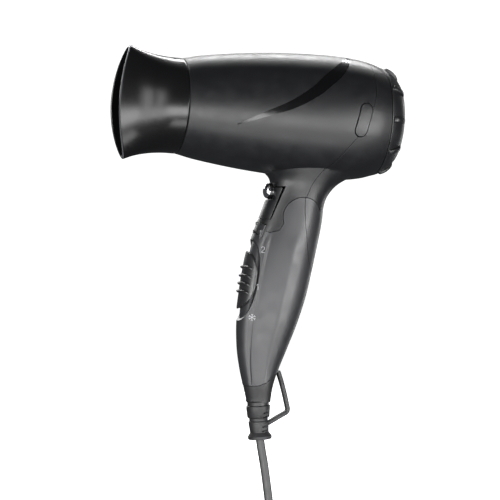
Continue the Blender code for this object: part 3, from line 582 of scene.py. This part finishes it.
def lower_handle(mats):
    shell = handle_solid("handle_shell_skin", -64, 62, crease=True)
    bottom = [(-30, -58), (-11.2, -58), (-4.3, -57.3), (0.5, -55.2), (6, -50.5), (10.4, -47.5), (25, -43)]
    change(shell, "INTERSECT", prism("below", [*fold_line(0), *reversed(bottom)], -30, 30))
    relief = rod("relief", (FOLD_X, -8.4, FOLD_Z), (FOLD_X, 8.4, FOLD_Z), FOLD_RELIEF)
    track = prism("track", track_outline(), -20, 20)
    change(track, "DIFFERENCE", switch_bed(-1.6, 6.5))
    change(shell, "DIFFERENCE", relief, track)
    for side in (-1, 1):
        low, high = sorted((side * 4.3, side * 7.9))
        knuckle = flush_knuckle(low, high)
        arm = slab("arm", (FOLD_X - 1.9, low + 0.2, FOLD_Z - 6.5), (FOLD_X + 2.0, high - 0.2, FOLD_Z))
        change(shell, "UNION", knuckle, arm)
    split = [(CHEEK_X + 0.6, 60), (CHEEK_X + 0.6, 51), (17.4, 41.5), (19.2, 32), (21.6, 20), (24.4, 13)]
    split += [(40, 8), (40, 60)]
    holes = []
    for z in (46.0, 34.5):
        rear = smooth(HANDLE, z)[1]
        holes.append(rod("hole", (rear + 6, 0, z), (rear - 4.2, 0, z), 2.9))
    change(shell, "DIFFERENCE", *holes)
    spine = copy(shell, "handle_spine_skin")
    change(spine, "INTERSECT", prism("spine_side", split, -30, 30))
    front = [(x - 2 * GAP, z) for x, z in split[:-2]] + [(40, 8 - 2 * GAP), (40, -70), (-40, -70), (-40, 60)]
    change(shell, "INTERSECT", prism("shell_side", front, -30, 30))
    done(shell, "handle", mats["grip"], ["handle_shell"])
    done(spine, "handle", mats["grip"], ["handle_spine"])
    slider(mats)
    marks(mats)


def slider(mats):
    piece = handle_solid("slider_body", -20, 32, 0.6, step=1.0)
    sides = [(t, 9.6 * (1 - t**4) ** 0.8) for t in spaced(-0.999, 0.999, 41)]
    face = [(y, SWITCH_Z - LEAF_HALF * t) for t, y in sides]
    face += [(-y, SWITCH_Z - LEAF_HALF * t) for t, y in reversed(sides)]
    ends = loft("face", [[(x, y, z) for y, z in face] for x in (-30, 0)])
    change(piece, "INTERSECT", prism("leaf", leaf(), -9.5, 9.5))
    change(piece, "INTERSECT", ends)
    soften(piece, 0.4)
    change(piece, "DIFFERENCE", switch_bed(-0.8, 6.9))
    done(piece, "switch_slider", mats["slider"], ["switch_slider"])
    for i, offset in enumerate((-6.7, -1.9, 2.8, 8.0)):
        z = SWITCH_Z + offset * math.cos(SLIDE_LEAN)
        front, rear, half = smooth(HANDLE, z)
        reach = 6.3 * (1 - ((z - SWITCH_Z) / LEAF_HALF) ** 2) ** 0.65 - 1.1
        rings = []
        for t in spaced(-1, 1, 33):
            y = 8.6 * t
            depth = (rear - front) / 2 * (1 - (1 - (abs(y) / (half + 0.6)) ** SQUARENESS) ** (1 / SQUARENESS))
            if depth > reach:
                continue
            end = math.sqrt(max(0.05, 1 - (depth / reach) ** 4))
            at_x, at_z = front - 0.9 + depth, z - 0.25 * depth
            rings.append([(at_x + 1.1 * end * math.cos(a), y, at_z + 0.95 * end * math.sin(a))
                          for a in [2 * math.pi * k / 20 for k in range(20)]])
        done(loft(f"slider_ridge_{i + 1}", rings), "switch_slider", mats["slider"], angle=60)


def marks(mats):
    """The figures for the speeds and the mark for cold air, printed on both sides of the handle."""
    two = [(-1, 1.0), (-0.6, 1.6), (0.2, 1.8), (0.9, 1.4), (1.0, 0.7), (0.5, 0), (-1.1, -1.6), (1.1, -1.6)]
    one = [(-0.7, 1.1), (0.2, 1.8), (0.2, -1.7)]
    flake = [[(1.9 * math.cos(a), 1.9 * math.sin(a)), (-1.9 * math.cos(a), -1.9 * math.sin(a))]
             for a in [math.radians(d) for d in (90, 30, 150)]]
    for k in range(6):
        a = math.radians(30 + 60 * k)
        tip, root = (1.9, 0.55), (1.15, 0)
        c, s = math.cos(a), math.sin(a)
        flake.append([(x * c - y * s, x * s + y * c) for x, y in (tip, root, (1.9, -0.55))])
    printed = (("two", [two], -6.9, 23.9), ("one", [one], -8.8, 1.5), ("cold", flake, -10.9, -16.7))
    for side in (-1, 1):
        for label, lines, x, z in printed:
            name = f"mark_{label}_{'left' if side < 0 else 'right'}"
            curve = bpy.data.curves.new(name, "CURVE")
            curve.dimensions = "3D"
            curve.bevel_depth = 0.2 * MM
            curve.bevel_resolution = 1
            for line in lines:
                fine = []
                for a, b in zip(line, line[1:]):
                    fine += [(a[0] + (b[0] - a[0]) * t, a[1] + (b[1] - a[1]) * t) for t in (0, 0.33, 0.66)]
                fine.append(line[-1])
                spline = curve.splines.new("POLY")
                spline.points.add(len(fine) - 1)
                for place, (u, v) in zip(spline.points, fine):
                    at_x, at_z = x - side * u, z + v
                    place.co = (at_x * MM, side * side_y(at_x, at_z) * MM, at_z * MM, 1)
            obj = bpy.data.objects.new(name, curve)
            bpy.context.scene.collection.objects.link(obj)
            obj.data.materials.append(mats["mark"])
            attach(obj, "handle")


def side_y(x, z):
    """How far out the handle's skin is at this place."""
    ring = [p for p in handle_ring(z, 0, 176, True) if p[1] > 0]
    return min(ring, key=lambda p: abs(p[0] - x))[1]


# ---- strain relief and loop ----
def strain_relief(mats):
    rows = [
        (-89.8, 1.3, 6.7), (-89.5, 1.28, 7.05), (-88.0, 1.1, 7.2), (-86.4, 0.83, 6.1), (-85.6, 0.7, 5.6),
        (-84.6, 0.5, 5.7), (-79.6, -0.17, 6.15), (-79.2, -0.2, 6.1), (-78.7, -0.25, 5.6), (-77.2, -0.4, 5.6),
        (-76.7, -0.45, 6.4), (-76.2, -0.5, 6.7), (-70.5, -1.05, 7.2), (-69.9, -1.1, 7.15), (-69.4, -1.15, 6.5),
        (-67.5, -1.3, 6.5), (-66.5, -1.4, 7.5),
    ]
    rings = []
    for z, middle, radius in rows:
        angles = [2 * math.pi * i / 72 for i in range(72)]
        rings.append([(middle + radius * math.cos(a), radius * math.sin(a), z + 0.12 * radius * math.cos(a))
                      for a in angles])
    lower = loft("relief_lower", rings)
    slots = []
    for side in (-1, 1):
        for z in (-72.4, -75.0, -80.6, -83.2):
            centre = Vector((3.4, side * 6.0, z))
            turn = Matrix.Translation(centre) @ Matrix.Rotation(math.radians(-32), 4, "Y")
            tool = slab("slot", (-3.2, -1.6, -0.5), (3.2, 1.6, 0.5))
            tool.data.transform(Matrix.Diagonal((1 / MM, 1 / MM, 1 / MM, 1)))
            tool.data.transform(turn)
            tool.data.transform(Matrix.Diagonal((MM, MM, MM, 1)))
            slots.append(tool)
    change(lower, "DIFFERENCE", *slots)
    upper = handle_solid("relief_upper", -67.2, -40, -0.2, step=1.0)
    top = [(-30, -58.4), (-11.2, -58.4), (-4.3, -57.7), (0.5, -55.6), (6, -50.9), (10.4, -47.9), (25, -43.4)]
    change(upper, "INTERSECT", prism("under", [*top, (25, -80), (-30, -80)], -30, 30))
    change(lower, "UNION", upper)
    change(lower, "DIFFERENCE", rod("cord_way", (0.2, 0, -80), (1.6, 0, -95), 3.1))
    done(lower, "handle", mats["soft"], ["strain_relief"])
    points = [(10.0, -48.6), (11.0, -51), (12.9, -56), (15.2, -63), (17.0, -69.2), (17.5, -71.2), (17.0, -72.8),
              (15.4, -74.0), (11.4, -76.4), (7.2, -79.1), (5.8, -80.0)]
    rows = [(i, *p) for i, p in enumerate(points)]
    line = [smooth(rows, t) for t in spaced(0, len(points) - 1, 70)]
    rings = []
    for i, (x, z) in enumerate(line):
        a, b = line[max(i - 1, 0)], line[min(i + 1, len(line) - 1)]
        way = Vector((b[0] - a[0], b[1] - a[1])).normalized()
        rings.append([(x + 1.4 * u * way.y, 2.1 * v, z - 1.4 * u * way.x) for u, v in rounded_square(0.7, 28)])
    done(loft("hang_loop_bar", rings), "handle", mats["soft"], ["hang_loop"], angle=60)


# ---- cord ----
def cord_route():
    """Down from the strain relief, into the coil's top layer, round its layers and out to the plug, in millimetres."""
    rows = [(0, *LEAD[0])]
    for a, b in zip(LEAD, LEAD[1:]):
        rows.append((rows[-1][0] + (Vector(b) - Vector(a)).length, *b))
    route = [Vector(smooth(rows, s)) for s in spaced(0, rows[-1][0], 64)]
    per_layer, steps = COIL_TURNS / 4, 40
    climb = 0.26
    for i in range(1, round(COIL_TURNS * steps) + 1):
        turn = i / steps
        layer = min(3, int(turn / per_layer))
        inside = turn - layer * per_layer
        run = min(1.0, inside / (per_layer - climb)) if layer < 3 else inside / per_layer
        radius = COIL_OUTER + (COIL_INNER - COIL_OUTER) * (run if layer % 2 == 0 else 1 - run)
        drop = 0.0
        if layer < 3 and inside > per_layer - climb:
            t = (inside - per_layer + climb) / climb
            drop = t * t * (3 - 2 * t)
        angle = -math.pi / 2 + 2 * math.pi * turn
        z = COIL_TOP - LAYER * (layer + drop)
        route.append(Vector((COIL_X + radius * math.cos(angle), COIL_Y + radius * math.sin(angle), z)))
    last = route[-1]
    for s in spaced(0, 1, 8)[1:-1]:
        route.append(Vector((last.x + (TAIL_START - last.x) * s, TAIL_Y, TAIL_Z)))
    for t in spaced(0, 1, 16):
        route.append(Vector((TAIL_START - TAIL_RUN * t, TAIL_Y, TAIL_Z + (PLUG_Z - TAIL_Z) * t * t * (3 - 2 * t))))
    return route


def make_cord():
    """A flat two-core cord: its width stays in the plane that it first hangs in, and upright in the coil."""
    route = cord_route()
    shape = []
    offset = CORD_WIDTH / 2 - CORE_R
    for centre, first, last in ((offset, -126, 126), (-offset, 54, 306)):
        for d in spaced(first, last, 13):
            a = math.radians(d)
            shape.append((centre + CORE_R * math.cos(a), CORE_R * math.sin(a)))
    rings = []
    for i, p in enumerate(route):
        way = (route[min(i + 1, len(route) - 1)] - route[max(i - 1, 0)]).normalized()
        across = Vector((-way.y, way.x, 0)).normalized()
        wide = way.cross(across).normalized()
        rings.append([tuple(p + wide * u + across * v) for u, v in shape])
    cord = loft("mains_cord", rings)
    cord.data.shade_smooth()
    cord.data.set_sharp_from_angle(angle=math.radians(60))
    cord["route_mm"] = sum((b - a).length for a, b in zip(route, route[1:]))
    return cord, route


def declare_cord(cord, mats):
    cord.data.materials.append(mats["vinyl"])
    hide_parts("cord_lead", "cord_coil", "cord_tail")
    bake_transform(cord)
    print("cord length, mm:", round(cord["route_mm"], 1))


# ---- CAD pieces that stay as they are ----
def finish_nodes(mats):
    looks = {
        "outlet_grille": "dark", "heat_shield": "mica", "heater_frame": "mica", "heater_coil": "wire",
        "thermal_cutout": "steel",
        "motor_can": "steel", "motor_mount": "dark", "motor_shaft": "steel", "impeller": "dark", "fold_pin": "steel",
        "lever_pin": "steel", "intake_grille": "satin", "filter_screen": "screen", "spine_screw_upper": "steel",
        "spine_screw_lower": "steel", "switch_block": "dark", "cord_tie": "dark", "plug_body": "vinyl",
        "plug_pin_left": "brass", "plug_pin_right": "brass",
    }
    for name, look in looks.items():
        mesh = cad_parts[name].data
        mesh.materials.clear()
        mesh.materials.append(mats[look])
        mesh.shade_smooth()
        mesh.set_sharp_from_angle(angle=math.radians(35))


# ---- stage ----
def area_light(name, place, aim, width, height, power):
    data = bpy.data.lights.new(name, "AREA")
    data.shape = "RECTANGLE"
    data.size, data.size_y, data.energy = width, height, power
    obj = bpy.data.objects.new(name, data)
    bpy.context.scene.collection.objects.link(obj)
    obj.location = place
    obj.rotation_euler = (Vector(aim) - Vector(place)).to_track_quat("-Z", "Y").to_euler()
    return obj


def make_stage():
    tool = bmesh.new()
    bmesh.ops.create_grid(tool, x_segments=1, y_segments=1, size=14)
    mesh = bpy.data.meshes.new("floor")
    tool.to_mesh(mesh)
    tool.free()
    floor = bpy.data.objects.new("floor", mesh)
    floor.location = (0, 0, FLOOR_Z * MM - 0.0005)
    bpy.context.scene.collection.objects.link(floor)
    mat = bpy.data.materials.new("floor_pale")
    mat.use_nodes = True
    shader = mat.node_tree.nodes["Principled BSDF"]
    shader.inputs["Base Color"].default_value = (0.9, 0.9, 0.9, 1)
    shader.inputs["Roughness"].default_value = 0.9
    shader.inputs["Specular IOR Level"].default_value = 0.0
    shader.inputs["Emission Color"].default_value = (1, 1, 1, 1)
    shader.inputs["Emission Strength"].default_value = 1.0
    mesh.materials.append(mat)
    floor.visible_glossy = False
    floor.visible_diffuse = False
    floor.visible_shadow = False
    world = bpy.data.worlds.new("studio")
    world.use_nodes = True
    nodes, links = world.node_tree.nodes, world.node_tree.links
    lit = nodes["Background"]
    lit.inputs["Color"].default_value = (0.9, 0.95, 1, 1)
    lit.inputs["Strength"].default_value = 0.07
    seen = nodes.new("ShaderNodeBackground")
    seen.inputs["Color"].default_value = (1, 1, 1, 1)
    seen.inputs["Strength"].default_value = 1.15
    path, mix = nodes.new("ShaderNodeLightPath"), nodes.new("ShaderNodeMixShader")
    links.new(path.outputs["Is Camera Ray"], mix.inputs["Fac"])
    links.new(lit.outputs["Background"], mix.inputs[1])
    links.new(seen.outputs["Background"], mix.inputs[2])
    links.new(mix.outputs["Shader"], nodes["World Output"].inputs["Surface"])
    bpy.context.scene.world = world
    bpy.context.scene.view_settings.view_transform = "Standard"
    area_light("top_back", (0.0, 0.95, 1.1), (0, 0, 0.1), 1.6, 0.16, 20)
    area_light("front_wide", (-0.25, -1.2, -0.22), (0, 0, 0.08), 1.5, 0.42, 17)
    area_light("front_low", (0.1, -0.9, -0.75), (0, 0, 0.05), 1.2, 0.3, 5)
    area_light("left_tall", (-1.1, -0.75, 0.0), (0, 0, 0.0), 0.26, 1.3, 15)
    area_light("right_tall", (0.75, -1.0, -0.05), (0, 0, -0.03), 0.3, 0.7, 12)
    area_light("far_side", (-0.3, 1.7, 0.55), (0, 0, 0.03), 1.2, 0.6, 8)
    area_light("far_rear", (1.5, 1.0, 0.1), (0, 0, 0), 0.4, 1.2, 5)


def main():
    make_camera()
    cord, route = make_cord()
    mats = make_materials()
    declare_cord(cord, mats)
    make_stage()
    finish_nodes(mats)
    housing(mats)
    nozzle(mats)
    rear_cap(mats)
    release(mats)
    lower_handle(mats)
    strain_relief(mats)


main()
